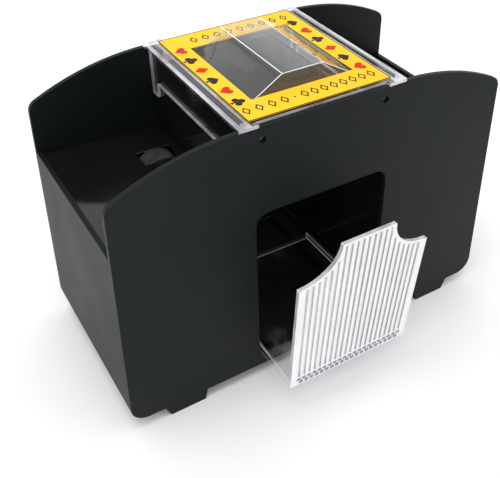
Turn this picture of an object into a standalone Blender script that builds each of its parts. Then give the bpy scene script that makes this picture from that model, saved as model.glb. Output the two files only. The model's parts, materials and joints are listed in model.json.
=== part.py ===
"""Automatic card shuffler: a battery driven tabletop shuffler for playing cards.

All sizes below are millimetres; make() turns them into metres. The housing's own
frame has X along its long side, -Y towards the drawer and +Z up, with z = 0 under the
feet. HOUSING_Y moves that frame so that the origin lies under the middle of the whole
object's box, which the pulled-out drawer makes longer at the front.
"""
import math

import bmesh
import bpy
from mathutils import Matrix, Vector

MM = 0.001
GAP = 0.3
FAR = 160.0

# Housing shell
BASE_Z = 6.3
BASE_HALF_X = 105.4
BASE_HALF_Y = 49.5
TAPER_Z = 122.7
TAPER_X = 4.9
TAPER_Y = 3.1
WALL = 2.3
CREST_Z = 143.3
CREST_HALF_X = 40.0
CREST_RADIUS = 130.0
SHOULDER_Z = 124.6
SHOULDER_RADIUS = 6.0
CORNER_RADIUS = 8.5
RIM_Z = 103.8
ABOVE_Z = 153.3
FOOT_TOP = (65.6, 88.5)
FOOT_BOTTOM = (67.3, 85.8)
BOTTOM_OPENING_X = 96.0
DOOR_HALF_X = 35.5
DOOR_SILL_Z = 14.3
DOOR_TOP_Z = 100.3
DOOR_RADIUS = 6.5
DOOR_CUT_Y = -40.0
NOTCH_X = (32.4, 42.4)
NOTCH_Z = 142.1
PIN_X = 31.2
PIN_Z = 137.1
PIN_RADIUS = 1.3
POST_X = 90.0
POST_Y = 42.0
POST_RADIUS = 4.2
POST_TOP_Z = 30.0
TRAY_RIB_X = (76.0, 93.0)
TRAY_RIB_REACH = 4.0
TRAY_RIB_HEIGHT = 14.0
RIB_HALF = 1.0

# Base plate and battery compartment
PLATE_TOP_Z = 8.8
SCREW_HOLE = 1.6
SCREW_HEAD_HOLE = 3.5
SCREW_HEAD_DEPTH = 1.5
HATCH_TOP_Z = 8.3
HATCH_GRIP_X = -14.0
HATCH_GRIP_PITCH = 2.4
HATCH_GRIP_HALF = (0.6, 8.0)
HATCH_GRIP_DEPTH = 0.7
HATCH_SCREW_X = 4.0
BOX_X = (-94.5, -39.0)
BOX_HALF_Y = 32.5
BOX_Z = (9.1, 27.1)
BOX_WALL = 1.6
CELL_RADIUS = 7.15
CELL_LENGTH = 49.5
CELL_PITCH = 15.2
CELL_Z = 16.9
CELL_NUB = 1.0
CONTACT_THICK = 0.4
CONTACT_HALF = 4.5

# Card trays, gates and the well between them
TRAY_X = (38.9, 99.0)
TRAY_TOP_INNER_Z = 100.3
TRAY_SLOPE = 2.4 / 59.0
TRAY_THICK = 2.0
GATE_X = (36.7, 38.7)
GATE_Z = (101.7, 124.0)
GATE_FLANGE_X = 34.2
WELL_X = (36.4, 38.4)
WELL_Z = (20.8, 100.0)
SLOT_HALF_X = 8.6
SLOT_HALF_Y = 5.8

# Drawer, at rest pulled out by DRAWER_OUT
DRAWER_OUT = 28.0
DRAWER_CLOSED_FRONT_Y = -48.0
DRAWER_LEAN = 6.0
DRAWER_HALF_X = 34.5
DRAWER_Z = (14.6, 99.9)
DRAWER_SHOULDER_Z = 82.3
DRAWER_NECK_HALF_X = 14.0
DRAWER_PLATE = 2.2
DRAWER_FLOOR = 2.0
DRAWER_LENGTH = 90.0
DRAWER_LIP_Z = 19.0
RAIL_X = (28.0, 36.1)
RAIL_Z = (9.1, 14.3)
RAIL_GUIDE_X = 34.8
RAIL_GUIDE_Z = 20.5
RAIL_END_Y = 45.0

# Clear cover and its label
COVER_HALF_X = 40.5
COVER_HALF_Y = 43.4
COVER_Z = (142.8, 144.4)
COVER_TAB_X = (32.7, 42.0)
COVER_TAB_Y = 46.0
SKIRT_X = 39.0
SKIRT_Z = 126.3
LEG_Z = 119.3
LEG_Y = 37.5
BEAD_X = 37.2
BEAD_Z = 145.6
BUMP_BASE = (25.6, 27.7)
BUMP_TOP = (10.3, 27.0)
BUMP_Z = 152.3
BUMP_WALL = 1.4
LUG_HALF_X = 2.5
LUG_Y = 41.6
LABEL_HALF = (35.8, 42.6)
LABEL_WINDOW = (25.9, 28.0)
LABEL_Z = (144.7, 145.0)

# Feed drive, one under each tray (distances from the middle of the housing)
MODULE = 0.6
PRESSURE = math.radians(20.0)
BACKLASH = 0.14
ADDENDUM = 0.8
DEDENDUM = 1.25
ROLLER_TEETH = 20
SMALL_TEETH = 12
LARGE_TEETH = 36
PINION_TEETH = 12
ROLLER_AXIS = (52.0, 91.5)
IDLER_AXIS = (57.5, 83.632)
MOTOR_AXIS = (57.5, 69.232)
ROLLER_RADIUS = 10.5
ROLLER_WIDTH = 10.0
ROLLER_Y = 18.0
SHAFT_RADIUS = 1.5
SHAFT_Y = (-42.5, 33.0)
SMALL_GEAR_Y = (29.0, 32.5)
LARGE_GEAR_Y = (34.0, 37.5)
BRACKET_Y = (24.5, 26.5)
BRACKET_OUTER_Y = (40.0, 42.0)
BRACKET_X = (44.0, 72.0)
BRACKET_TOP_Z = 98.1
BRACKET_LOW_Z = 58.0
BRACKET_OUTER_LOW_Z = 77.0
BEARING_Y = (-42.0, -39.5)
MOTOR_Y = (-1.8, 24.2)

# Start button on the rear panel
BUTTON_X = 86.0
BUTTON_Z = 72.0
BUTTON_RADIUS = 5.6
BUTTON_END_Y = 49.4
BUTTON_FLANGE_Y = (43.2, 44.4)

WIRE_RADIUS = 0.6


def half_x(z):
    """Outer half length of the tapering shell at height z."""
    return BASE_HALF_X - TAPER_X * (z - BASE_Z) / TAPER_Z


def half_y(z):
    """Outer half depth of the tapering shell at height z."""
    return BASE_HALF_Y - TAPER_Y * (z - BASE_Z) / TAPER_Z


def inner_y(z):
    """Half depth between the front and rear panels' inner faces at height z."""
    return half_y(z) - WALL


def tray_top(x):
    """Height of a tray's upper face at distance x from the middle."""
    return TRAY_TOP_INNER_Z + TRAY_SLOPE * (x - TRAY_X[0])


# The front of the closed drawer's plate leans outwards, and the rear foot is the
# rearmost point, so these two give the middle of the whole object's box.
FRONT_Y = DRAWER_CLOSED_FRONT_Y - DRAWER_LEAN - DRAWER_OUT
HOUSING_Y = -(FRONT_Y + half_y(0.0)) / 2.0


# ---------------------------------------------------------------- building blocks

def clear_scene():
    for obj in list(bpy.data.objects):
        bpy.data.objects.remove(obj, do_unlink=True)


def material(name, colour, roughness, metallic=0.0, transmission=0.0):
    mat = bpy.data.materials.new(name)
    mat.use_nodes = True
    shader = mat.node_tree.nodes["Principled BSDF"]
    shader.inputs["Base Color"].default_value = (*colour, 1.0)
    shader.inputs["Roughness"].default_value = roughness
    shader.inputs["Metallic"].default_value = metallic
    shader.inputs["Transmission Weight"].default_value = transmission
    mat.diffuse_color = (*colour, 1.0)
    return mat


def empty(name, location, parent=None):
    obj = bpy.data.objects.new(name, None)
    obj.empty_display_size = 0.01
    obj.location = Vector(location) * MM
    obj.parent = parent
    bpy.context.collection.objects.link(obj)
    return obj


def make(name, bm, mat, parent, smooth=False):
    """Turn a mesh drawn in millimetres into an object in metres."""
    bmesh.ops.recalc_face_normals(bm, faces=bm.faces)
    bmesh.ops.scale(bm, vec=(MM, MM, MM), verts=bm.verts)
    mesh = bpy.data.meshes.new(name)
    bm.to_mesh(mesh)
    bm.free()
    if mat is not None:
        mesh.materials.append(mat)
    if smooth:
        mesh.shade_smooth()
        mesh.set_sharp_from_angle(angle=math.radians(35.0))
    obj = bpy.data.objects.new(name, mesh)
    obj.parent = parent
    bpy.context.collection.objects.link(obj)
    return obj


def combine(target, bm, operation):
    """Cut a tool shape from an object, or join it on, with a Boolean modifier."""
    number = len(target.modifiers) + 1
    tool = make(f"{target.name}_tool_{number}", bm, None, target.parent)
    tool.display_type = "WIRE"
    tool.hide_render = True
    modifier = target.modifiers.new(f"{operation.lower()}_{number}", "BOOLEAN")
    modifier.operation = operation
    modifier.solver = "EXACT"
    modifier.object = tool


def cut(target, *shapes):
    for shape in shapes:
        combine(target, shape, "DIFFERENCE")


def join(target, *shapes):
    for shape in shapes:
        combine(target, shape, "UNION")


def prism(outline, low, high, axis="Y"):
    """Extrude a closed outline along an axis.

    The outline holds (x, z) pairs for Y, (x, y) pairs for Z and (y, z) pairs for X.
    """
    place = {
        "X": lambda a, b, t: (t, a, b),
        "Y": lambda a, b, t: (a, t, b),
        "Z": lambda a, b, t: (a, b, t),
    }[axis]
    bm = bmesh.new()
    near = [bm.verts.new(place(a, b, low)) for a, b in outline]
    far = [bm.verts.new(place(a, b, high)) for a, b in outline]
    bridge(bm, near, far)
    return bm


def bridge(bm, near, far):
    """Close two matching rings of vertices into a solid."""
    bm.faces.new(near)
    bm.faces.new(list(reversed(far)))
    count = len(near)
    for i in range(count):
        j = (i + 1) % count
        bm.faces.new((near[j], near[i], far[i], far[j]))


def box(x0, x1, y0, y1, z0, z1):
    return prism([(x0, y0), (x1, y0), (x1, y1), (x0, y1)], z0, z1, "Z")


def arc(cx, cz, radius, start, end, steps):
    """Points of an arc, with its angles in degrees."""
    points = []
    for i in range(steps + 1):
        angle = math.radians(start + (end - start) * i / steps)
        points.append((cx + radius * math.cos(angle), cz + radius * math.sin(angle)))
    return points


def circle(cx, cz, radius, steps):
    return arc(cx, cz, radius, 0.0, 360.0 * (steps - 1) / steps, steps - 1)


def rod(axis_point, radius, low, high, axis="Y", steps=24):
    return prism(circle(*axis_point, radius, steps), low, high, axis)


def turned(profile, centre, axis, steps=24):
    """Turn a profile of (radius, distance) pairs round an axis through centre."""
    bm = bmesh.new()
    ring = [bm.verts.new((radius, 0.0, along)) for radius, along in profile]
    edges = [bm.edges.new((ring[i], ring[i + 1])) for i in range(len(ring) - 1)]
    bmesh.ops.spin(
        bm, geom=ring + edges, axis=(0, 0, 1), cent=(0, 0, 0),
        steps=steps, angle=2.0 * math.pi, use_merge=True,
    )
    bmesh.ops.remove_doubles(bm, verts=bm.verts, dist=0.0001)
    turn = {
        "X": Matrix.Rotation(math.pi / 2.0, 4, "Y"),
        "Y": Matrix.Rotation(-math.pi / 2.0, 4, "X"),
        "Z": Matrix.Identity(4),
    }[axis]
    bm.transform(Matrix.Translation(centre) @ turn)
    return bm


def mirrored(right_half):
    """Complete an outline whose right half runs from the bottom to the top."""
    return right_half + [(-x, z) for x, z in reversed(right_half)]


# ---------------------------------------------------------------- housing

def shell_outline():
    corner_z = BASE_Z + CORNER_RADIUS
    corner_x = half_x(corner_z) - CORNER_RADIUS
    crest_low_z = CREST_Z - CREST_RADIUS
    reach = CREST_RADIUS - SHOULDER_RADIUS
    shoulder_x = half_x(SHOULDER_Z) - SHOULDER_RADIUS
    rise = math.sqrt(reach ** 2 - (shoulder_x - CREST_HALF_X) ** 2)
    shoulder_z = crest_low_z + rise
    tangent = math.degrees(math.atan2(rise, shoulder_x - CREST_HALF_X))
    half = [(FOOT_TOP[0], BASE_Z), (FOOT_BOTTOM[0], 0.0)]
    half += [(FOOT_BOTTOM[1], 0.0), (FOOT_TOP[1], BASE_Z)]
    half += arc(corner_x, corner_z, CORNER_RADIUS, -90.0, 0.0, 8)
    half += arc(shoulder_x, shoulder_z, SHOULDER_RADIUS, 0.0, tangent, 6)
    crest = arc(CREST_HALF_X, crest_low_z, CREST_RADIUS, tangent, 90.0, 10)
    return mirrored(half + crest[1:])


def tapered_block(outline, inset):
    """Extrude an (x, z) outline between the shell's sloping panels."""
    bm = bmesh.new()
    near = [bm.verts.new((x, inset - half_y(z), z)) for x, z in outline]
    far = [bm.verts.new((x, half_y(z) - inset, z)) for x, z in outline]
    bridge(bm, near, far)
    return bm


def cavity_outline():
    corner_z = BASE_Z + CORNER_RADIUS
    corner_x = half_x(corner_z) - CORNER_RADIUS
    half = [(BOTTOM_OPENING_X, -WALL), (BOTTOM_OPENING_X, BASE_Z + WALL)]
    half += arc(corner_x, corner_z, CORNER_RADIUS - WALL, -90.0, 0.0, 6)
    half += [(half_x(ABOVE_Z) - WALL, ABOVE_Z)]
    return mirrored(half)


def opening_outline():
    inner_x = DOOR_HALF_X - DOOR_RADIUS
    half = [(DOOR_HALF_X, DOOR_SILL_Z)]
    half += arc(inner_x, DOOR_TOP_Z - DOOR_RADIUS, DOOR_RADIUS, 0.0, 90.0, 6)
    return mirrored(half)


def make_housing(parent, mat):
    housing = make("housing", tapered_block(shell_outline(), 0.0), mat, parent, True)
    above_z = ABOVE_Z + 1.0
    above_rim = [(-FAR, RIM_Z), (FAR, RIM_Z), (FAR, above_z), (-FAR, above_z)]
    cut(
        housing,
        tapered_block(cavity_outline(), WALL),
        tapered_block(above_rim, WALL),
        prism(opening_outline(), -FAR, DOOR_CUT_Y),
    )
    for side in (-1, 1):
        notch = sorted((side * NOTCH_X[0], side * NOTCH_X[1]))
        cut(
            housing,
            box(*notch, -FAR, FAR, NOTCH_Z, FAR),
            rod((side * PIN_X, PIN_Z), PIN_RADIUS + GAP, -FAR, FAR, steps=16),
        )
    cut(housing, rod((BUTTON_X, BUTTON_Z), BUTTON_RADIUS + GAP, -DOOR_CUT_Y, FAR))
    for side in (-1, 1):
        for end in (-1, 1):
            add_post(housing, side * POST_X, end)
            for rib_x in TRAY_RIB_X:
                add_tray_rib(housing, side * rib_x, end)
    return housing


def add_post(housing, x, end):
    """A screw post for the base plate, tied to the panel by a rib."""
    low = PLATE_TOP_Z + GAP
    y = end * POST_Y
    web = sorted((y, end * (inner_y(low) + 1.0)))
    join(
        housing,
        rod((x, y), POST_RADIUS, low, POST_TOP_Z, "Z", 20),
        box(x - RIB_HALF, x + RIB_HALF, *web, low + 0.5, POST_TOP_Z - 0.5),
    )
    cut(housing, rod((x, y), 1.5, low - 1.0, POST_TOP_Z - 4.0, "Z", 16))


def add_tray_rib(housing, x, end):
    """A rib on a panel's inner face that holds up a tray."""
    top = tray_top(abs(x) - RIB_HALF) - TRAY_THICK - GAP
    foot = top - TRAY_RIB_HEIGHT
    wall = end * (inner_y(top) + 1.0)
    tip = end * (inner_y(top) - TRAY_RIB_REACH)
    outline = [(wall, top), (tip, top), (end * (inner_y(top) - 0.2), foot), (wall, foot)]
    join(housing, prism(outline, x - RIB_HALF, x + RIB_HALF, "X"))


# ---------------------------------------------------------------- base and batteries

def make_base(parent, plastic, steel):
    reach_x = BOTTOM_OPENING_X - GAP
    reach_y = inner_y(PLATE_TOP_Z) - GAP
    outline = box(-reach_x, reach_x, -reach_y, reach_y, BASE_Z, PLATE_TOP_Z)
    plate = make("base_plate", outline, plastic, parent)
    hole_x = (BOX_X[0] + BOX_WALL + GAP, BOX_X[1] - BOX_WALL - GAP)
    hole_y = BOX_HALF_Y - BOX_WALL - GAP
    cut(plate, box(*hole_x, -hole_y, hole_y, 0.0, FAR))
    for end, y in (("front", -POST_Y), ("rear", POST_Y)):
        for side, x in (("left", -POST_X), ("right", POST_X)):
            cut(
                plate,
                rod((x, y), SCREW_HOLE, 0.0, FAR, "Z", 16),
                rod((x, y), SCREW_HEAD_HOLE, 0.0, BASE_Z + SCREW_HEAD_DEPTH, "Z", 20),
            )
            point = (x, y, BASE_Z + 0.2)
            make(f"base_screw_{end}_{side}", screw(point), steel, parent, True)
    make_battery_door(parent, plastic, steel, hole_x, hole_y)


def screw(point):
    """A pan head screw that points upwards from its head."""
    profile = [(0.0, 0.0), (2.4, 0.0), (3.1, 0.4), (3.1, 1.0), (1.15, 1.0)]
    profile += [(1.15, 13.0), (0.0, 14.2)]
    return turned(profile, point, "Z", 14)


def make_battery_door(parent, plastic, steel, hole_x, hole_y):
    door_x = (hole_x[0] + GAP, hole_x[1] - GAP)
    door_y = hole_y - GAP
    blank = box(*door_x, -door_y, door_y, BASE_Z, HATCH_TOP_Z)
    door = make("battery_door", blank, plastic, parent)
    middle_x = sum(door_x) / 2.0
    half_x_grip, half_y_grip = HATCH_GRIP_HALF
    for step in range(-2, 3):
        x = middle_x + HATCH_GRIP_X + step * HATCH_GRIP_PITCH
        cut(door, box(
            x - half_x_grip, x + half_x_grip, -half_y_grip, half_y_grip,
            0.0, BASE_Z + HATCH_GRIP_DEPTH,
        ))
    screw_x = door_x[0] + HATCH_SCREW_X
    cut(door, rod((screw_x, 0.0), SCREW_HOLE, 0.0, FAR, "Z", 16))
    head = turned(
        [(0.0, 0.0), (2.4, 0.0), (3.0, 0.3), (3.0, 0.7), (1.2, 0.7), (1.2, 2.7), (0.0, 2.7)],
        (screw_x, 0.0, BASE_Z - 1.0), "Z", 14,
    )
    make("battery_door_screw", head, steel, parent, True)


def make_battery_box(parent, plastic, steel, jacket):
    shell = make(
        "battery_box",
        box(*BOX_X, -BOX_HALF_Y, BOX_HALF_Y, *BOX_Z),
        plastic,
        parent,
    )
    inner_x = (BOX_X[0] + BOX_WALL, BOX_X[1] - BOX_WALL)
    inner = BOX_HALF_Y - BOX_WALL
    cut(shell, box(*inner_x, -inner, inner, 0.0, BOX_Z[1] - BOX_WALL))
    reach = 1.5 * CELL_PITCH + CONTACT_HALF
    low, high = CELL_Z - CONTACT_HALF, CELL_Z + CONTACT_HALF
    starts = (("outer", inner_x[0] + GAP), ("inner", inner_x[1] - GAP - CONTACT_THICK))
    for name, x in starts:
        strip = box(x, x + CONTACT_THICK, -reach, reach, low, high)
        make(f"battery_contact_{name}", strip, steel, parent)
    middle = inner_x[0] + 2.0 * GAP + CONTACT_THICK + (CELL_LENGTH + CELL_NUB) / 2.0
    for row in range(4):
        y = (row - 1.5) * CELL_PITCH
        flip = 1 if row % 2 == 0 else -1
        cell = battery_cell(flip)
        bmesh.ops.translate(cell, vec=(middle, y, CELL_Z), verts=cell.verts)
        make(f"battery_cell_{row + 1}", cell, jacket, parent, True)


def battery_cell(flip):
    """One AA cell along X, with its positive nub on the side that flip says."""
    half = (CELL_LENGTH + CELL_NUB) / 2.0
    shoulder = half - CELL_NUB
    profile = [(0.0, -half), (5.5, -half), (CELL_RADIUS, -half + 0.4)]
    profile += [(CELL_RADIUS, shoulder - 0.6), (6.6, shoulder), (2.7, shoulder)]
    profile += [(2.7, half), (0.0, half)]
    cell = turned(profile, (0.0, 0.0, 0.0), "X", 24)
    if flip < 0:
        cell.transform(Matrix.Rotation(math.pi, 4, "Z"))
    return cell


# ---------------------------------------------------------------- trays and well

def make_tray(parent, name, side, mat):
    """A sloping tray floor with slots for the feed rollers."""
    inner, outer = TRAY_X
    reach = inner_y(TRAY_TOP_INNER_Z + 2.5) - GAP
    profile = [
        (side * inner, tray_top(inner) - TRAY_THICK),
        (side * outer, tray_top(outer) - TRAY_THICK),
        (side * outer, tray_top(outer)),
        (side * inner, tray_top(inner)),
    ]
    tray = make(f"card_tray_{name}", prism(profile, -reach, reach), mat, parent)
    x = side * ROLLER_AXIS[0]
    for y in (-ROLLER_Y, ROLLER_Y):
        cut(tray, box(
            x - SLOT_HALF_X, x + SLOT_HALF_X, y - SLOT_HALF_Y, y + SLOT_HALF_Y, 0.0, FAR,
        ))


def make_gate(parent, name, side, mat):
    """The wall that lets only the lowest card through, flanged at both panels."""
    reach = inner_y(GATE_Z[1]) - GAP
    neck = reach - 1.6
    outline = [
        (GATE_X[1], -reach), (GATE_X[1], reach), (GATE_FLANGE_X, reach),
        (GATE_FLANGE_X, neck), (GATE_X[0], neck), (GATE_X[0], -neck),
        (GATE_FLANGE_X, -neck), (GATE_FLANGE_X, -reach),
    ]
    outline = [(side * x, y) for x, y in outline]
    make(f"card_gate_{name}", prism(outline, *GATE_Z, "Z"), mat, parent)


def make_well_wall(parent, name, side, mat):
    low, high = WELL_Z
    near, far = inner_y(low) - GAP, inner_y(high) - GAP
    outline = [(-near, low), (near, low), (far, high), (-far, high)]
    span = sorted((side * WELL_X[0], side * WELL_X[1]))
    make(f"well_wall_{name}", prism(outline, *span, "X"), mat, parent)


def make_rail(parent, name, side, mat):
    """A drawer rail: a ledge under the drawer, a guide beside it and an end stop."""
    ledge = [
        (RAIL_X[0], RAIL_Z[0]), (RAIL_X[1], RAIL_Z[0]), (RAIL_X[1], RAIL_GUIDE_Z),
        (RAIL_GUIDE_X, RAIL_GUIDE_Z), (RAIL_GUIDE_X, RAIL_Z[1]), (RAIL_X[0], RAIL_Z[1]),
    ]
    ledge = [(side * x, z) for x, z in ledge]
    front = -inner_y(RAIL_GUIDE_Z) + 0.8
    rail = make(f"drawer_rail_{name}", prism(ledge, front, RAIL_END_Y), mat, parent)
    stop = sorted((side * (RAIL_X[0] + 0.5), side * (RAIL_X[1] - 0.5)))
    join(rail, box(*stop, drawer_stop_y(), RAIL_END_Y - 0.4, RAIL_Z[0] + 1, RAIL_GUIDE_Z - 0.5))


def drawer_stop_y():
    """Where the closed drawer's floor ends, plus the gap to the stop."""
    return DRAWER_CLOSED_FRONT_Y + DRAWER_LENGTH + GAP


# ---------------------------------------------------------------- drawer

def drawer_front_outline():
    """Half of the front: straight sides, a concave scoop and a narrow top."""
    scoop_x = DRAWER_HALF_X
    scoop_z = DRAWER_Z[1]
    reach_x = DRAWER_HALF_X - DRAWER_NECK_HALF_X
    reach_z = DRAWER_Z[1] - DRAWER_SHOULDER_Z
    half = [(DRAWER_HALF_X, DRAWER_Z[0]), (DRAWER_HALF_X, DRAWER_SHOULDER_Z)]
    for i in range(1, 9):
        angle = math.radians(90.0 * i / 8)
        x = scoop_x - reach_x * math.sin(angle)
        z = scoop_z - reach_z * math.cos(angle)
        half.append((x, z))
    return mirrored(half)


def drawer_front_y(z):
    """Y of the closed drawer's outer face at height z."""
    share = (z - DRAWER_Z[0]) / (DRAWER_Z[1] - DRAWER_Z[0])
    return DRAWER_CLOSED_FRONT_Y - DRAWER_LEAN * share


def make_drawer(parent, mat):
    """The clear drawer, drawn closed; its parent carries it out to its rest place."""
    outline = drawer_front_outline()
    bm = bmesh.new()
    near = [bm.verts.new((x, drawer_front_y(z), z)) for x, z in outline]
    far = [bm.verts.new((x, drawer_front_y(z) + DRAWER_PLATE, z)) for x, z in outline]
    bridge(bm, near, far)
    drawer = make("drawer", bm, mat, parent)
    low = DRAWER_Z[0]
    top = low + DRAWER_FLOOR
    back = DRAWER_CLOSED_FRONT_Y + DRAWER_LENGTH
    lip = DRAWER_HALF_X - 1.0
    channel = [
        (DRAWER_HALF_X, low), (DRAWER_HALF_X, DRAWER_LIP_Z), (lip, DRAWER_LIP_Z),
        (lip, top), (-lip, top), (-lip, DRAWER_LIP_Z), (-DRAWER_HALF_X, DRAWER_LIP_Z),
        (-DRAWER_HALF_X, low),
    ]
    join(drawer, prism(channel, DRAWER_CLOSED_FRONT_Y + 1.0, back))
    return drawer


# ---------------------------------------------------------------- clear cover

def frustum(base, top, low, high):
    """A block whose base and top are (half x, half y) rectangles."""
    bm = bmesh.new()
    corners = ((-1, -1), (1, -1), (1, 1), (-1, 1))
    near = [bm.verts.new((x * base[0], y * base[1], low)) for x, y in corners]
    far = [bm.verts.new((x * top[0], y * top[1], high)) for x, y in corners]
    bridge(bm, near, far)
    return bm


def make_cover(parent, mat):
    hx, hy = COVER_HALF_X, COVER_HALF_Y
    cover = make("top_cover", box(-hx, hx, -hy, hy, *COVER_Z), mat, parent)
    for side in (-1, 1):
        skirt = sorted((side * SKIRT_X, side * hx))
        bead = sorted((side * BEAD_X, side * (hx - 0.5)))
        tab = sorted((side * COVER_TAB_X[0], side * COVER_TAB_X[1]))
        legs = (hy - 0.2, LEG_Y)
        join(
            cover,
            skirt_panel(skirt, hy, legs),
            box(*bead, -hy + 0.3, hy - 0.3, COVER_Z[0] + 0.4, BEAD_Z),
            box(*tab, -COVER_TAB_Y, COVER_TAB_Y, COVER_Z[0] + 0.1, COVER_Z[1] - 0.1),
        )
        for end in (-1, 1):
            x = side * PIN_X
            lug = sorted((end * LUG_Y, end * (hy - 0.3)))
            join(cover, box(x - LUG_HALF_X, x + LUG_HALF_X, *lug, PIN_Z - 2.6, COVER_Z[0] + 0.5))
            pin = sorted((end * (LUG_Y + 0.5), end * (hy + 0.2)))
            join(cover, rod((x, PIN_Z), PIN_RADIUS, *pin, steps=12))
    join(cover, frustum(BUMP_BASE, BUMP_TOP, COVER_Z[1] - 0.8, BUMP_Z))
    inner_base = (BUMP_BASE[0] - 1.9, BUMP_BASE[1] - BUMP_WALL)
    inner_top = (BUMP_TOP[0] - 0.5, BUMP_TOP[1] - BUMP_WALL)
    cut(cover, frustum(inner_base, inner_top, COVER_Z[0] - 1.0, BUMP_Z - BUMP_WALL))
    return cover


def skirt_panel(span, hy, legs):
    """A side skirt with a longer leg at each end."""
    tip, root = legs
    outline = [
        (-hy, COVER_Z[1] - 0.3), (-tip, LEG_Z), (-root, LEG_Z), (-root, SKIRT_Z),
        (root, SKIRT_Z), (root, LEG_Z), (tip, LEG_Z), (hy, COVER_Z[1] - 0.3),
    ]
    return prism(outline, *span, "X")


def make_label(parent, mat):
    outer = box(
        -LABEL_HALF[0], LABEL_HALF[0], -LABEL_HALF[1], LABEL_HALF[1], *LABEL_Z,
    )
    label = make("cover_label", outer, mat, parent)
    wx, wy = LABEL_WINDOW
    cut(label, box(-wx, wx, -wy, wy, LABEL_Z[0] - 1.0, LABEL_Z[1] + 1.0))


# ---------------------------------------------------------------- feed drive

def gear(teeth, centre, direction, tooth, span):
    """A spur gear on an axis along Y.

    direction is the angle towards the gear that it meshes with, and tooth says
    whether a tooth (True) or a gap (False) lies on that line.
    """
    pitch = MODULE * teeth / 2.0
    base = pitch * math.cos(PRESSURE)
    root = pitch - DEDENDUM * MODULE
    tip = pitch + ADDENDUM * MODULE
    step = 2.0 * math.pi / teeth
    start = direction if tooth else direction + step / 2.0
    half_tooth = step / 4.0 - BACKLASH / (2.0 * pitch)
    flank = half_tooth + math.tan(PRESSURE) - PRESSURE

    def offset(radius):
        angle = math.acos(min(1.0, base / radius))
        return flank - (math.tan(angle) - angle)

    radii = (root, pitch, tip)
    outline = []
    for number in range(teeth):
        middle = start + number * step
        rising = [(r, middle - offset(r)) for r in radii]
        falling = [(r, middle + offset(r)) for r in reversed(radii)]
        for radius, angle in rising + falling:
            outline.append((
                centre[0] + radius * math.cos(angle),
                centre[1] + radius * math.sin(angle),
            ))
    return prism(outline, *span)


def heading(start, end):
    return math.atan2(end[1] - start[1], end[0] - start[0])


def joint_empty(name, axis_point, parent):
    """An empty on the axis, along Y, of a piece that turns or slides on it."""
    return empty(name, (axis_point[0], 0.0, axis_point[1]), parent)


def on_axis(obj, axis_point):
    """Move a mesh drawn in the housing's frame so that its origin is its axis."""
    shift = Vector((axis_point[0], 0.0, axis_point[1])) * MM
    obj.data.transform(Matrix.Translation(-shift))


def spinning(name, bm, mat, holder, axis_point):
    obj = make(name, bm, mat, holder, True)
    on_axis(obj, axis_point)
    return obj


def bore(obj, radius, low, high):
    """Cut a round bore along a turning piece's own axis."""
    cut(obj, rod((0.0, 0.0), radius, low, high, steps=18))


def make_feed_drive(parent, name, side, mats):
    roller = (side * ROLLER_AXIS[0], ROLLER_AXIS[1])
    idler = (side * IDLER_AXIS[0], IDLER_AXIS[1])
    motor = (side * MOTOR_AXIS[0], MOTOR_AXIS[1])
    make_roller_shaft(parent, name, roller, idler, mats)
    make_idler(parent, name, roller, idler, motor, mats)
    make_motor(parent, name, idler, motor, mats)
    make_brackets(parent, name, side, (roller, idler, motor), mats)


def make_roller_shaft(parent, name, roller, idler, mats):
    holder = joint_empty(f"feed_axis_{name}", roller, parent)
    shaft = rod(roller, SHAFT_RADIUS, *SHAFT_Y, steps=18)
    spinning(f"roller_shaft_{name}", shaft, mats["steel"], holder, roller)
    wheel = gear(ROLLER_TEETH, roller, heading(roller, idler), True, SMALL_GEAR_Y)
    wheel = spinning(f"roller_gear_{name}", wheel, mats["gear"], holder, roller)
    bore(wheel, SHAFT_RADIUS + 0.25, 20.0, 40.0)
    for end, y in (("front", -ROLLER_Y), ("rear", ROLLER_Y)):
        half = ROLLER_WIDTH / 2.0
        profile = [
            (SHAFT_RADIUS + 0.25, -half), (ROLLER_RADIUS - 0.6, -half),
            (ROLLER_RADIUS, 0.6 - half), (ROLLER_RADIUS, half - 0.6),
            (ROLLER_RADIUS - 0.6, half), (SHAFT_RADIUS + 0.25, half),
            (SHAFT_RADIUS + 0.25, -half),
        ]
        tyre = turned(profile, (roller[0], y, roller[1]), "Y", 30)
        spinning(f"feed_roller_{name}_{end}", tyre, mats["rubber"], holder, roller)


def make_idler(parent, name, roller, idler, motor, mats):
    holder = joint_empty(f"idler_axis_{name}", idler, parent)
    large = gear(LARGE_TEETH, idler, heading(idler, motor), True, LARGE_GEAR_Y)
    wheel = spinning(f"idler_gear_{name}", large, mats["gear"], holder, idler)
    small_span = (SMALL_GEAR_Y[0], LARGE_GEAR_Y[0] + 1.0)
    small = gear(
        SMALL_TEETH, (0.0, 0.0), heading(idler, roller), False, small_span,
    )
    join(wheel, small)
    bore(wheel, 1.25, 20.0, 45.0)
    axle = rod(idler, 1.0, BRACKET_Y[0] - 1.0, BRACKET_OUTER_Y[1] + 0.8, steps=14)
    make(f"idler_axle_{name}", axle, mats["steel"], parent, True)


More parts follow.
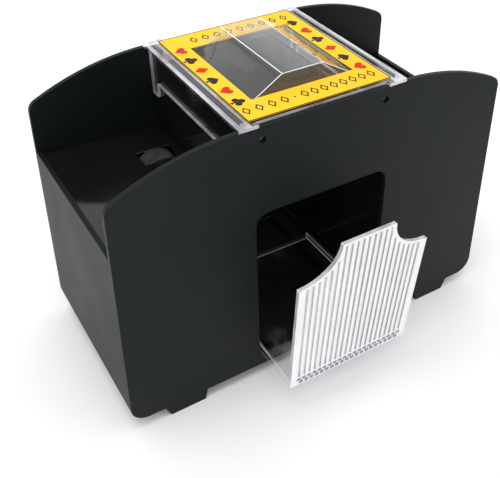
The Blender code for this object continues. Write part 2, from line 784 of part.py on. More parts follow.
def make_motor(parent, name, idler, motor, mats):
    flat, radius = 7.5, 10.0
    angle = math.degrees(math.asin(flat / radius))
    can = arc(*motor, radius, -angle, angle, 6)
    can += arc(*motor, radius, 180.0 - angle, 180.0 + angle, 6)
    body = make(f"motor_{name}", prism(can, MOTOR_Y[0], MOTOR_Y[1]), mats["steel"], parent, True)
    cap = rod(motor, 5.0, MOTOR_Y[0] - 2.0, MOTOR_Y[0] + 0.5, steps=18)
    boss = rod(motor, 3.0, MOTOR_Y[1] - 0.5, MOTOR_Y[1] + 1.6, steps=18)
    join(body, cap, boss)
    cut(body, rod(motor, 1.3, MOTOR_Y[1] - 8.0, MOTOR_Y[1] + 5.0, steps=14))
    holder = joint_empty(f"motor_axis_{name}", motor, parent)
    shaft = rod(motor, 1.0, MOTOR_Y[1] - 7.0, LARGE_GEAR_Y[1] + 1.0, steps=14)
    spinning(f"motor_shaft_{name}", shaft, mats["steel"], holder, motor)
    pinion = gear(PINION_TEETH, motor, heading(motor, idler), False, LARGE_GEAR_Y)
    pinion = spinning(f"motor_pinion_{name}", pinion, mats["brass"], holder, motor)
    bore(pinion, 1.25, 30.0, 45.0)


def make_brackets(parent, name, side, axes, mats):
    """The plates that hang under the tray and carry the motor and the shafts."""
    roller, idler, motor = axes
    span = sorted((side * BRACKET_X[0], side * BRACKET_X[1]))
    profile = [
        (BRACKET_Y[0], BRACKET_LOW_Z), (BRACKET_Y[1], BRACKET_LOW_Z),
        (BRACKET_Y[1], BRACKET_TOP_Z - 2.0), (BRACKET_OUTER_Y[0], BRACKET_TOP_Z - 2.0),
        (BRACKET_OUTER_Y[0], BRACKET_OUTER_LOW_Z), (BRACKET_OUTER_Y[1], BRACKET_OUTER_LOW_Z),
        (BRACKET_OUTER_Y[1], BRACKET_TOP_Z), (BRACKET_Y[0], BRACKET_TOP_Z),
    ]
    bracket = make(f"drive_bracket_{name}", prism(profile, *span, "X"), mats["inner"], parent)
    plate = (BRACKET_Y[0] - 2.0, BRACKET_Y[1] + 1.5)
    cut(
        bracket,
        rod(roller, 3.3, *plate, steps=18),
        rod(motor, 3.4, *plate, steps=18),
        rod(idler, 1.3, BRACKET_Y[0] - 2.0, BRACKET_OUTER_Y[1] + 2.0, steps=14),
        rod(roller, 7.0, BRACKET_Y[1] + 0.4, BRACKET_OUTER_Y[0] - 0.4, steps=18),
    )
    bearing_x = sorted((side * (ROLLER_AXIS[0] - 6.0), side * (ROLLER_AXIS[0] + 6.0)))
    bearing = make(
        f"shaft_hanger_{name}",
        box(*bearing_x, *BEARING_Y, ROLLER_AXIS[1] - 6.0, BRACKET_TOP_Z),
        mats["inner"],
        parent,
    )
    cut(bearing, rod(roller, 3.3, BEARING_Y[0] - 2.0, BEARING_Y[1] + 2.0, steps=18))
    for end, low, high in (("front", *BEARING_Y), ("rear", *BRACKET_Y)):
        profile = [
            (SHAFT_RADIUS + 0.3, low), (3.0, low), (3.0, high),
            (SHAFT_RADIUS + 0.3, high), (SHAFT_RADIUS + 0.3, low),
        ]
        bush = turned(profile, (roller[0], 0.0, roller[1]), "Y", 18)
        make(f"bush_{name}_{end}", bush, mats["brass"], parent, True)


# ---------------------------------------------------------------- button and wiring

def make_switch(parent, mats):
    axis = (BUTTON_X, BUTTON_Z)
    holder = joint_empty("button_axis", axis, parent)
    profile = [
        (0.0, BUTTON_END_Y), (BUTTON_RADIUS - 0.6, BUTTON_END_Y),
        (BUTTON_RADIUS, BUTTON_END_Y - 0.6), (BUTTON_RADIUS, BUTTON_FLANGE_Y[1]),
        (BUTTON_RADIUS + 1.4, BUTTON_FLANGE_Y[1]), (BUTTON_RADIUS + 1.4, BUTTON_FLANGE_Y[0]),
        (3.6, BUTTON_FLANGE_Y[0]), (3.6, BUTTON_END_Y - 1.6), (0.0, BUTTON_END_Y - 1.6),
    ]
    cap = turned(profile, (axis[0], 0.0, axis[1]), "Y", 24)
    spinning("start_button", cap, mats["red"], holder, axis)
    body = box(BUTTON_X - 7.0, BUTTON_X + 7.0, 32.0, 40.0, BUTTON_Z - 6.0, BUTTON_Z + 6.0)
    body = make("switch_body", body, mats["inner"], parent)
    join(body, rod(axis, 1.2, 39.5, 44.0, steps=14))
    make("button_spring", coil(axis, 2.3, 0.35, 40.6, 45.2, 4), mats["steel"], parent, True)


def coil(axis, radius, wire, low, high, turns):
    """A compression spring: a round wire wound along Y, closed at both ends."""
    steps, sides = turns * 12, 6
    bm = bmesh.new()
    rings = []
    for i in range(steps + 1):
        angle = 2.0 * math.pi * turns * i / steps
        out = Vector((math.cos(angle), 0.0, math.sin(angle)))
        centre = Vector((axis[0], low + (high - low) * i / steps, axis[1])) + out * radius
        ring = []
        for k in range(sides):
            around = 2.0 * math.pi * k / sides
            point = centre + wire * (out * math.cos(around) + Vector((0, math.sin(around), 0)))
            ring.append(bm.verts.new(point))
        rings.append(ring)
    for near, far in zip(rings, rings[1:]):
        for k in range(sides):
            m = (k + 1) % sides
            bm.faces.new((near[k], near[m], far[m], far[k]))
    bm.faces.new(rings[0])
    bm.faces.new(list(reversed(rings[-1])))
    return bm


def make_wire(parent, name, points, mat):
    """A lead that follows a smooth curve through its guide points."""
    curve = bpy.data.curves.new(name, "CURVE")
    curve.dimensions = "3D"
    curve.bevel_depth = WIRE_RADIUS * MM
    curve.bevel_resolution = 2
    curve.use_fill_caps = True
    path = smooth_path([Vector(p) for p in points], 6)
    spline = curve.splines.new("POLY")
    spline.points.add(len(path) - 1)
    for slot, point in zip(spline.points, path):
        slot.co = (*(point * MM), 1.0)
    curve.materials.append(mat)
    obj = bpy.data.objects.new(name, curve)
    obj.parent = parent
    bpy.context.collection.objects.link(obj)


def smooth_path(points, steps):
    """Catmull-Rom points through the guide points."""
    padded = [points[0]] + points + [points[-1]]
    path = []
    for p0, p1, p2, p3 in zip(padded, padded[1:], padded[2:], padded[3:]):
        for i in range(steps):
            t = i / steps
            path.append(0.5 * (
                2.0 * p1 + (p2 - p0) * t + (2.0 * p0 - 5.0 * p1 + 4.0 * p2 - p3) * t ** 2
                + (3.0 * p1 - p0 - 3.0 * p2 + p3) * t ** 3
            ))
    return path + [points[-1]]


def make_wiring(parent, mat):
    left_end = (-MOTOR_AXIS[0], MOTOR_Y[0] - 3.0, MOTOR_AXIS[1])
    right_end = (MOTOR_AXIS[0], MOTOR_Y[0] - 3.0, MOTOR_AXIS[1])
    make_wire(parent, "wire_motor_left", [
        (-60.0, -14.0, BOX_Z[1] + 1.0), (-60.0, -14.5, 38.0), (-58.5, -13.0, 56.0), left_end,
    ], mat)
    make_wire(parent, "wire_battery_switch", [
        (-50.0, BOX_HALF_Y + 1.0, 20.0), (-46.0, 40.0, 15.0), (-41.0, 45.6, 12.0),
        (-20.0, 46.0, 11.8), (20.0, 46.0, 11.8), (41.0, 45.6, 12.0), (52.0, 41.0, 15.0),
        (74.0, 36.0, 34.0), (84.0, 35.0, 54.0), (BUTTON_X, 35.5, BUTTON_Z - 7.0),
    ], mat)
    make_wire(parent, "wire_switch_motor", [
        (BUTTON_X - 3.0, 31.0, BUTTON_Z), (80.0, 20.0, 66.0), (76.0, 0.0, 62.0),
        (68.0, -12.0, 64.0), right_end,
    ], mat)


# ---------------------------------------------------------------- assembly

def main():
    clear_scene()
    black = material("black_plastic", (0.022, 0.025, 0.028), 0.42)
    gloss = material("gloss_black_plastic", (0.012, 0.013, 0.014), 0.15)
    clear = material("clear_plastic", (0.93, 0.93, 0.95), 0.05, transmission=0.9)
    yellow = material("yellow_label", (0.95, 0.62, 0.04), 0.4)
    jacket = material("battery_jacket", (0.03, 0.08, 0.2), 0.35)
    mats = {
        "steel": material("steel", (0.6, 0.6, 0.6), 0.3, metallic=1.0),
        "brass": material("brass", (0.75, 0.55, 0.25), 0.3, metallic=1.0),
        "gear": material("white_gear_plastic", (0.8, 0.8, 0.77), 0.4),
        "rubber": material("rubber", (0.04, 0.04, 0.04), 0.8),
        "inner": material("grey_inner_plastic", (0.1, 0.1, 0.11), 0.5),
        "red": material("button_red", (0.6, 0.03, 0.02), 0.4),
    }
    root = empty("housing_frame", (0.0, HOUSING_Y, 0.0))
    make_housing(root, black)
    make_base(root, black, mats["steel"])
    make_battery_box(root, black, mats["steel"], jacket)
    for name, side in (("left", -1), ("right", 1)):
        make_tray(root, name, side, gloss)
        make_gate(root, name, side, gloss)
        make_well_wall(root, name, side, gloss)
        make_rail(root, name, side, black)
        make_feed_drive(root, name, side, mats)
    make_drawer(empty("drawer_axis", (0.0, -DRAWER_OUT, 0.0), root), clear)
    cover_axis = empty("cover_axis", (0.0, 0.0, 0.0), root)
    make_cover(cover_axis, clear)
    make_label(cover_axis, yellow)
    make_switch(root, mats)
    make_wiring(root, material("wire_insulation", (0.03, 0.03, 0.035), 0.4))


main()
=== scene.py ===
"""The looks of the automatic card shuffler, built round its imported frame.

Lengths are metres, and MM turns a size in millimetres into metres.
"""
import json
import math

import bmesh
import bpy
from mathutils import Matrix, Vector


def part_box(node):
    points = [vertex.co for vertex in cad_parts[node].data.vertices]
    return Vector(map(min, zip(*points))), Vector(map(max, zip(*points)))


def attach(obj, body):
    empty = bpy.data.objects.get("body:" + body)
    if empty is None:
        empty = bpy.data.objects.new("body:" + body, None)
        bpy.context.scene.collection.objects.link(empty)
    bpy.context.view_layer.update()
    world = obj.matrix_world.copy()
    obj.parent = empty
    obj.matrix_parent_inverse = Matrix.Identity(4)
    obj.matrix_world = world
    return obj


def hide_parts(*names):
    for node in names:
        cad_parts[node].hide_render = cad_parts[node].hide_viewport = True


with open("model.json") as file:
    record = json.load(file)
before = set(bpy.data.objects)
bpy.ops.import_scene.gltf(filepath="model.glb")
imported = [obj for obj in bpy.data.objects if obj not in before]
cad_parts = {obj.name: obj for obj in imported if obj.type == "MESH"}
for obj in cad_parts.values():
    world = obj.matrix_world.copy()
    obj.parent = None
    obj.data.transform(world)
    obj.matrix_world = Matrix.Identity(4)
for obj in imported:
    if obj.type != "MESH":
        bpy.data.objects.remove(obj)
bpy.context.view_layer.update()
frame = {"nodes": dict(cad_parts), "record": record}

MM = 0.001
NODES = frame["nodes"]
RECORD = frame["record"]
BODY_OF = {
    node: body
    for body, members in RECORD["behaviour"]["bodies"].items()
    for node in members
}
SLOT_OF = {row["node"]: row["material_slot"] for row in RECORD["subparts"]}

# Camera, as the angles and distance of a view of the housing
CAMERA_AZIMUTH = math.radians(-31.42)
CAMERA_ELEVATION = math.radians(39.89)
CAMERA_ROLL = 0.0017
CAMERA_DISTANCE = 401.8 * MM
CAMERA_TARGET = (0.8 * MM, 0.0, 38.4 * MM)
CAMERA_LENS = 53.08
CAMERA_SHIFT_X = -0.0417

# Studio: a light is (place, (width, height), power), in metres and watts
LIGHT_AIM_Z = 70.0 * MM
TOP_SOFTBOX = ((-0.25, -0.1, 1.3), (0.8, 0.8), 5.0)
BACK_PANEL = ((0.62, 1.0, 0.62), (1.0, 0.55), 0.6)
FLOOR_RADIUS = 6.0
FLOOR_DROP = 0.1 * MM

# Drawer front, with ribs that have a groove between each two and rows of notches below
RIB_PITCH = 3.0 * MM
GROOVE_DEPTH = 0.65 * MM
GROOVE_BOTTOM = 5.5 * MM
GROOVE_MARGIN = 0.9 * MM
GROOVE_RAMP = 1.1 * MM
GROOVE_STEPS = 16
NOTCH_ROWS = ((0.7 * MM, 2.9 * MM, 0.5), (3.3 * MM, 5.1 * MM, 0.0))  # from, to, shift in pitches
NOTCHES_TOP = 5.3 * MM
NOTCH_LEAST = 0.04 * MM
CREST_DEPTH = 0.24 * MM
PLATE_DEPTH = 2.6 * MM
NECK_HALF_X = 14.0 * MM
SHOULDER_DROP = 17.6 * MM

# Clear walls: widths of the rounded edges that carry a painted highlight, what a wall mirrors face
# on, and the places of the finishes in a clear piece's list of materials
EDGE = 0.22 * MM
RIDGE = 0.25 * MM
FACE_ON = 0.06
PANE, EDGE_PAINTED_HIGHLIGHT, RIM, CREST, GROOVE, NOTCH = range(6)

# Housing
HOUSING_EDGE = 0.45 * MM
RIM_ROUND = 1.8 * MM

# Label print: a group is (first x, pitch, count)
SUIT_SIZE = 6.6 * MM
SUIT_X = (-31.5 * MM, 29.9 * MM)
SUIT_Y = (-26.8 * MM, 27.3 * MM)
FRONT_GROUPS = ((-32.3 * MM, 6.1 * MM, 4), (-4.1 * MM, 4.93 * MM, 8))
REAR_GROUPS = ((-20.6 * MM, 6.2 * MM, 9),)
ROW_Y = 35.1 * MM
INK = 0.06 * MM
INK_ROOT = 0.05 * MM
INK_STEP = 0.002 * MM
LOZENGE = (1.9 * MM, 3.0 * MM, 0.7 * MM)  # half width, half height, line
DOT_RADIUS = 0.5 * MM
BORDER_LINE = 0.45 * MM
LEFT_SUITS = ("club", "heart", "spade", "diamond", "club", "heart")
RIGHT_SUITS = ("heart", "spade", "diamond", "club", "heart", "spade")

SAME = 0.05 * MM  # heights closer than this count as the same
LOW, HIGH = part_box("housing")
CENTRE_Y = (LOW.y + HIGH.y) / 2.0


# ---------------------------------------------------------------- materials

class Look:
    """A material under construction: a Principled shader and helpers for its nodes."""

    def __init__(self, name, colour, roughness, metallic=0.0, level=0.5):
        self.material = bpy.data.materials.new(name)
        self.material.use_nodes = True
        self.tree = self.material.node_tree
        self.shader = self.tree.nodes["Principled BSDF"]
        self.output = self.tree.nodes["Material Output"]
        self.set("Base Color", (*colour, 1.0))
        self.set("Roughness", roughness)
        self.set("Metallic", metallic)
        self.set("Specular IOR Level", level)
        coordinates = self.tree.nodes.new("ShaderNodeTexCoord")
        self.place = coordinates.outputs["Object"]

    def set(self, socket, value):
        self.shader.inputs[socket].default_value = value

    def node(self, kind, **values):
        node = self.tree.nodes.new(kind)
        for key, value in values.items():
            if key in node.inputs:
                node.inputs[key].default_value = value
            else:
                setattr(node, key, value)
        return node

    def link(self, source, target):
        self.tree.links.new(source, target)

    def stretched(self, scale):
        mapping = self.node("ShaderNodeMapping")
        mapping.inputs["Scale"].default_value = scale
        self.link(self.place, mapping.inputs["Vector"])
        return mapping.outputs["Vector"]

    def noise(self, scale, detail=4.0, place=None):
        node = self.node("ShaderNodeTexNoise", Scale=scale, Detail=detail)
        self.link(place or self.place, node.inputs["Vector"])
        return node.outputs["Fac"]

    def spread(self, value, low, high, start=0.3, end=0.7):
        """Map a pattern's start..end onto low..high."""
        node = self.node("ShaderNodeMapRange")
        node.inputs["From Min"].default_value = start
        node.inputs["From Max"].default_value = end
        node.inputs["To Min"].default_value = low
        node.inputs["To Max"].default_value = high
        self.link(value, node.inputs["Value"])
        return node.outputs["Result"]

    def mixed(self, pattern, first, second):
        """A colour that wanders between two tones with a pattern."""
        mix = self.node("ShaderNodeMix", data_type="RGBA")
        tones = [socket for socket in mix.inputs if socket.type == "RGBA"]
        tones[0].default_value = (*first, 1.0)
        tones[1].default_value = (*second, 1.0)
        self.link(pattern, mix.inputs["Factor"])
        return [socket for socket in mix.outputs if socket.type == "RGBA"][0]

    def tint(self, pattern, first, second):
        self.link(self.mixed(pattern, first, second), self.shader.inputs["Base Color"])

    def mottle(self, scale, first, second, detail=4.0):
        """Let the colour wander between two tones with a soft noise."""
        self.tint(self.spread(self.noise(scale, detail), 0.0, 1.0), first, second)

    def rough(self, pattern):
        self.link(pattern, self.shader.inputs["Roughness"])

    def uneven(self, scale, low, high, detail=4.0):
        """Let the roughness wander between low and high with a soft noise."""
        self.rough(self.spread(self.noise(scale, detail), low, high))

    def bump(self, *layers):
        """Stack bump layers of (pattern, strength, depth)."""
        normal = None
        for pattern, strength, depth in layers:
            node = self.node("ShaderNodeBump", Strength=strength, Distance=depth)
            self.link(pattern, node.inputs["Height"])
            if normal is not None:
                self.link(normal, node.inputs["Normal"])
            normal = node.outputs["Normal"]
        self.link(normal, self.shader.inputs["Normal"])


def black_plastic():
    """Satin moulded plastic with a fine grain and a few handling smudges."""
    look = Look("black_satin_plastic", (0.008, 0.0093, 0.0098), 0.47, level=0.14)
    smudge = look.noise(28.0, 5.0)
    grain = look.noise(2600.0, 2.0)
    look.rough(look.spread(smudge, 0.44, 0.51))
    look.mottle(9.0, (0.0055, 0.0078, 0.0086), (0.0092, 0.012, 0.013))
    look.bump((grain, 0.08, 0.02 * MM), (look.noise(45.0, 2.0), 0.04, 0.1 * MM))
    return look.material


def gloss_black_plastic():
    look = Look("gloss_black_plastic", (0.006, 0.006, 0.007), 0.12)
    look.uneven(40.0, 0.08, 0.2, 6.0)
    look.mottle(14.0, (0.005, 0.005, 0.006), (0.009, 0.009, 0.01))
    look.bump((look.noise(60.0, 2.0), 0.06, 0.1 * MM))
    return look.material


def grey_inner_plastic():
    look = Look("grey_inner_plastic", (0.08, 0.082, 0.088), 0.5)
    look.uneven(70.0, 0.42, 0.6)
    look.mottle(25.0, (0.07, 0.072, 0.078), (0.095, 0.097, 0.1))
    look.bump((look.noise(1800.0, 2.0), 0.15, 0.03 * MM))
    return look.material


def clear_plastic(name, milky_painted_highlight, tone):
    """Clear polystyrene: a mirror at grazing angles, see-through elsewhere, with a milky white that
    is painted light, a painted highlight and reflection.

    milky_painted_highlight is (least, most, start, end) for the pattern that lays on the milky
    white.
    """
    look = Look(name, tone, 0.45, level=0.0)
    haze_and_highlight_pattern = look.noise(60.0, 5.0)
    look.mottle(90.0, tone, tuple(0.94 * c for c in tone))
    through = look.node("ShaderNodeBsdfTransparent")
    clear_tone = look.mixed(look.spread(haze_and_highlight_pattern, 0.0, 1.0), (0.975, 0.975, 0.985), (0.93, 0.93, 0.945))
    look.link(clear_tone, through.inputs["Color"])
    body = look.node("ShaderNodeMixShader")
    look.link(look.spread(haze_and_highlight_pattern, *milky_painted_highlight), body.inputs["Fac"])
    look.link(through.outputs["BSDF"], body.inputs[1])
    look.link(look.shader.outputs["BSDF"], body.inputs[2])
    mirror = look.node("ShaderNodeBsdfGlossy", Color=(1.0, 1.0, 1.0, 1.0))
    look.link(look.spread(look.noise(120.0, 5.0), 0.01, 0.05), mirror.inputs["Roughness"])
    facing = look.node("ShaderNodeLayerWeight", Blend=0.5).outputs["Facing"]
    power = look.node("ShaderNodeMath", operation="POWER")
    look.link(facing, power.inputs[0])
    power.inputs[1].default_value = 5.0
    surface = look.node("ShaderNodeMixShader")
    look.link(look.spread(power.outputs["Value"], FACE_ON, 1.0, 0.0, 1.0), surface.inputs["Fac"])
    look.link(body.outputs["Shader"], surface.inputs[1])
    look.link(mirror.outputs["BSDF"], surface.inputs[2])
    look.link(surface.outputs["Shader"], look.output.inputs["Surface"])
    return look.material


def ribbed_plastic(name, clearness, tone):
    """The drawer's ribbed front: clear plastic with a white base colour that is a painted highlight
    for the light its ribs catch, darker in streaks along the ribs.
    """
    look = Look(name, tone, 0.08)
    look.set("IOR", 1.5)
    look.set("Transmission Weight", clearness)
    look.uneven(150.0, 0.05, 0.14, 5.0)
    streaks = look.noise(420.0, 3.0, look.stretched((1.0, 1.0, 0.04)))
    look.tint(look.spread(streaks, 0.0, 1.0), tone, tuple(0.88 * c for c in tone))
    look.bump((look.noise(300.0, 3.0), 0.08, 0.03 * MM))
    through = look.node("ShaderNodeBsdfTransparent", Color=(0.8, 0.8, 0.82, 1.0))
    path = look.node("ShaderNodeLightPath")
    mix = look.node("ShaderNodeMixShader")
    look.link(path.outputs["Is Shadow Ray"], mix.inputs["Fac"])
    look.link(look.shader.outputs["BSDF"], mix.inputs[1])
    look.link(through.outputs["BSDF"], mix.inputs[2])
    look.link(mix.outputs["Shader"], look.output.inputs["Surface"])
    return look.material


def yellow_print():
    """Yellow ink on a varnished card label."""
    look = Look("yellow_print", (0.97, 0.55, 0.02), 0.5, level=0.12)
    look.mottle(30.0, (0.99, 0.53, 0.012), (0.96, 0.6, 0.02), 6.0)
    look.uneven(200.0, 0.46, 0.56, 3.0)
    look.bump((look.noise(900.0, 3.0), 0.1, 0.03 * MM))
    return look.material


def ink(name, first, second):
    look = Look(name, first, 0.5, level=0.1)
    look.mottle(600.0, first, second)
    look.uneven(300.0, 0.4, 0.52, 3.0)
    look.bump((look.noise(900.0, 3.0), 0.1, 0.02 * MM))
    return look.material


def brushed(name, first, second, low, high, stretch):
    """Metal with fine lines along one direction."""
    look = Look(name, first, low, metallic=1.0)
    lines = look.noise(500.0, 4.0, look.stretched(stretch))
    look.rough(look.spread(lines, low, high))
    look.mottle(60.0, first, second, 5.0)
    look.bump((lines, 0.15, 0.02 * MM))
    return look.material


def gear_plastic():
    look = Look("white_acetal", (0.78, 0.77, 0.72), 0.38)
    look.set("Subsurface Weight", 0.15)
    look.set("Subsurface Scale", 0.8 * MM)
    look.mottle(120.0, (0.8, 0.79, 0.74), (0.7, 0.69, 0.63))
    look.uneven(200.0, 0.3, 0.45)
    look.bump((look.noise(1500.0, 2.0), 0.08, 0.02 * MM))
    return look.material


def rubber():
    """Feed roller rubber, rubbed and dusty."""
    look = Look("roller_rubber", (0.035, 0.035, 0.036), 0.78, level=0.35)
    dust = look.noise(180.0, 6.0)
    look.tint(look.spread(dust, 0.0, 1.0, 0.45, 0.75), (0.03, 0.03, 0.031), (0.085, 0.082, 0.078))
    look.rough(look.spread(dust, 0.68, 0.9))
    look.bump((look.noise(1400.0, 4.0), 0.35, 0.06 * MM))
    return look.material


def battery_jacket():
    look = Look("battery_jacket", (0.03, 0.08, 0.2), 0.3, metallic=0.4)
    look.mottle(50.0, (0.02, 0.07, 0.19), (0.04, 0.1, 0.24))
    look.uneven(90.0, 0.24, 0.4)
    look.bump((look.noise(400.0, 2.0), 0.05, 0.03 * MM))
    return look.material


def wire_insulation():
    look = Look("wire_insulation", (0.02, 0.02, 0.022), 0.4)
    look.mottle(90.0, (0.018, 0.018, 0.02), (0.035, 0.035, 0.04))
    look.uneven(200.0, 0.34, 0.5)
    look.bump((look.noise(900.0, 2.0), 0.08, 0.02 * MM))
    return look.material


def red_plastic():
    look = Look("red_button_plastic", (0.5, 0.02, 0.015), 0.3)
    look.mottle(60.0, (0.48, 0.018, 0.012), (0.58, 0.03, 0.02))
    look.uneven(150.0, 0.24, 0.4)
    look.bump((look.noise(1800.0, 2.0), 0.08, 0.02 * MM))
    return look.material


LOOKS = {
    "black_plastic": black_plastic(),
    "gloss_black_plastic": gloss_black_plastic(),
    "grey_inner_plastic": grey_inner_plastic(),
    "clear_plastic": clear_plastic("clear_wall", (0.0, 0.05, 0.6, 0.85), (0.9, 0.91, 0.95)),
    "yellow_label": yellow_print(),
    "steel": brushed("steel", (0.58, 0.58, 0.6), (0.48, 0.48, 0.5), 0.22, 0.4, (1, 12, 1)),
    "brass": brushed("brass", (0.78, 0.56, 0.24), (0.66, 0.45, 0.18), 0.2, 0.36, (1, 10, 1)),
    "gear_plastic": gear_plastic(),
    "rubber": rubber(),
    "battery_jacket": battery_jacket(),
    "button_plastic": red_plastic(),
    "wire_insulation": wire_insulation(),
}
# Milky white for the rounded edges of clear plastic: a painted highlight
CLEAR_EDGE_PAINTED_HIGHLIGHT = clear_plastic("clear_edge_painted_highlight", (0.75, 0.95, 0.3, 0.7), (0.99, 0.98, 1.0))
# Milky lilac white for the rim faces of clear plastic: a painted highlight
CLEAR_RIM_PAINTED_HIGHLIGHT = clear_plastic("clear_rim_painted_highlight", (0.22, 0.62, 0.38, 0.62), (0.95, 0.94, 0.99))
# Rib crests, mostly white diffuse: a painted highlight
RIB_CREST_PAINTED_HIGHLIGHT = ribbed_plastic("rib_crest_painted_highlight", 0.11, (0.99, 0.985, 0.99))
# Groove faces, clearer and a little darker: a painted shade
RIB_GROOVE_PAINTED_SHADE = ribbed_plastic("rib_groove_painted_shade", 0.68, (0.88, 0.86, 0.89))
# Blue grey for the notches below the ribs: a painted reflection
RIB_END_PAINTED_REFLECTION = ribbed_plastic("rib_end_painted_reflection", 0.25, (0.24, 0.26, 0.38))
RED_INK = ink("red_ink", (0.57, 0.016, 0.007), (0.64, 0.026, 0.012))
BLACK_INK = ink("black_ink", (0.01, 0.01, 0.012), (0.025, 0.024, 0.022))


# ---------------------------------------------------------------- mesh helpers

def finish_piece(
    name, bm, node, material=None, edge=0.0, segments=2, replace=True, crease=32.0, extra=(),
):
    """Make a piece that rides on a CAD node's body and takes its finish.

    edge is the width of its softened edges, crease the least angle in degrees between two
    faces that stays sharp, and extra holds more materials, for faces with a material index.
    """
    mesh = bpy.data.meshes.new(name)
    bm.to_mesh(mesh)
    bm.free()
    mesh.shade_smooth()
    mesh.set_sharp_from_angle(angle=math.radians(crease))
    mesh.materials.append(material or LOOKS[SLOT_OF[node]])
    for more in extra:
        mesh.materials.append(more)
    piece = bpy.data.objects.new(name, mesh)
    bpy.context.scene.collection.objects.link(piece)
    if edge:
        bevel = piece.modifiers.new("soft_edges", "BEVEL")
        bevel.width = edge
        bevel.segments = segments
        bevel.limit_method = "ANGLE"
        bevel.angle_limit = math.radians(crease)
        bevel.miter_outer = "MITER_ARC"
    weighted = piece.modifiers.new("flat_faces", "WEIGHTED_NORMAL")
    weighted.keep_sharp = True
    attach(piece, BODY_OF[node])
    if replace:
        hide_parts(node)
    return piece


def solid_of(node):
    """A CAD node's shape with its flat faces whole again instead of in triangles."""
    bm = bmesh.new()
    bm.from_mesh(NODES[node].data)
    bmesh.ops.remove_doubles(bm, verts=bm.verts, dist=0.002 * MM)
    bmesh.ops.dissolve_limit(
        bm, angle_limit=math.radians(0.4), verts=bm.verts, edges=bm.edges,
        use_dissolve_boundaries=False,
    )
    return bm


def soften(bm, edges, width):
    """Round edges of a clear wall; the rounded strips take a milky white that is a painted
    highlight.
    """
    bmesh.ops.bevel(
        bm, geom=edges, offset=width, segments=2, profile=0.5, affect="EDGES",
        offset_type="OFFSET", clamp_overlap=True, material=EDGE_PAINTED_HIGHLIGHT,
    )


def sharp_edges(bm, degrees):
    """The edges whose two faces meet at more than this angle."""
    return [e for e in bm.edges if e.calc_face_angle(0.0) > math.radians(degrees)]


def cut(bm, tool):
    """Cut one closed mesh from another and return what is left."""
    first, second = scratch(bm), scratch(tool)
    modifier = first.modifiers.new("cut", "BOOLEAN")
    modifier.operation = "DIFFERENCE"
    modifier.solver = "EXACT"
    modifier.object = second
    bpy.context.view_layer.update()
    evaluated = first.evaluated_get(bpy.context.evaluated_depsgraph_get())
    result = bmesh.new()
    result.from_mesh(evaluated.to_mesh())
    evaluated.to_mesh_clear()
    for obj in (first, second):
        mesh = obj.data
        bpy.data.objects.remove(obj)
        bpy.data.meshes.remove(mesh)
    return result


def scratch(bm):
    """Turn a bmesh into an object that cut() needs for a moment."""
    mesh = bpy.data.meshes.new("scratch")
    bm.to_mesh(mesh)
    bm.free()
    obj = bpy.data.objects.new("scratch", mesh)
    bpy.context.scene.collection.objects.link(obj)
    return obj


def prism(bm, outline, low, high):
    """Add an (x, y) outline extruded from height low to height high."""
    near = [bm.verts.new((x, y, low)) for x, y in outline]
    far = [bm.verts.new((x, y, high)) for x, y in outline]
    bm.faces.new(list(reversed(near)))
    bm.faces.new(far)
    count = len(outline)
    for i in range(count):
        j = (i + 1) % count
        bm.faces.new((near[i], near[j], far[j], far[i]))


def arc(cx, cy, radius, start, end, steps):
    """Points on a circle round (cx, cy), from one angle in degrees to another."""
    points = []
    for i in range(steps + 1):
        angle = math.radians(start + (end - start) * i / steps)
        points.append((cx + radius * math.cos(angle), cy + radius * math.sin(angle)))
    return points


# ---------------------------------------------------------------- housing

def make_housing():
    """The shell with soft edges, and a fuller round along the side walls' outer rims."""
    bm = solid_of("housing")
    least_length, side_x, near = 60.0 * MM, 90.0 * MM, 0.4 * MM
    across = [e for e in bm.edges if abs(e.verts[0].co.y - e.verts[1].co.y) > least_length]
    rim_z = max(e.verts[0].co.z for e in across if abs(e.verts[0].co.x) > side_x)
    at_rim = [e for e in across if abs(e.verts[0].co.z - rim_z) < SAME]
    reach = max(abs(e.verts[0].co.x) for e in at_rim)
    rims = [e for e in at_rim if abs(e.verts[0].co.x) > reach - near]
    bmesh.ops.bevel(
        bm, geom=rims, offset=RIM_ROUND, segments=5, profile=0.5, affect="EDGES",
        offset_type="OFFSET", clamp_overlap=True,
    )
    finish_piece("housing_shell", bm, "housing", edge=HOUSING_EDGE, segments=3)


# ---------------------------------------------------------------- drawer

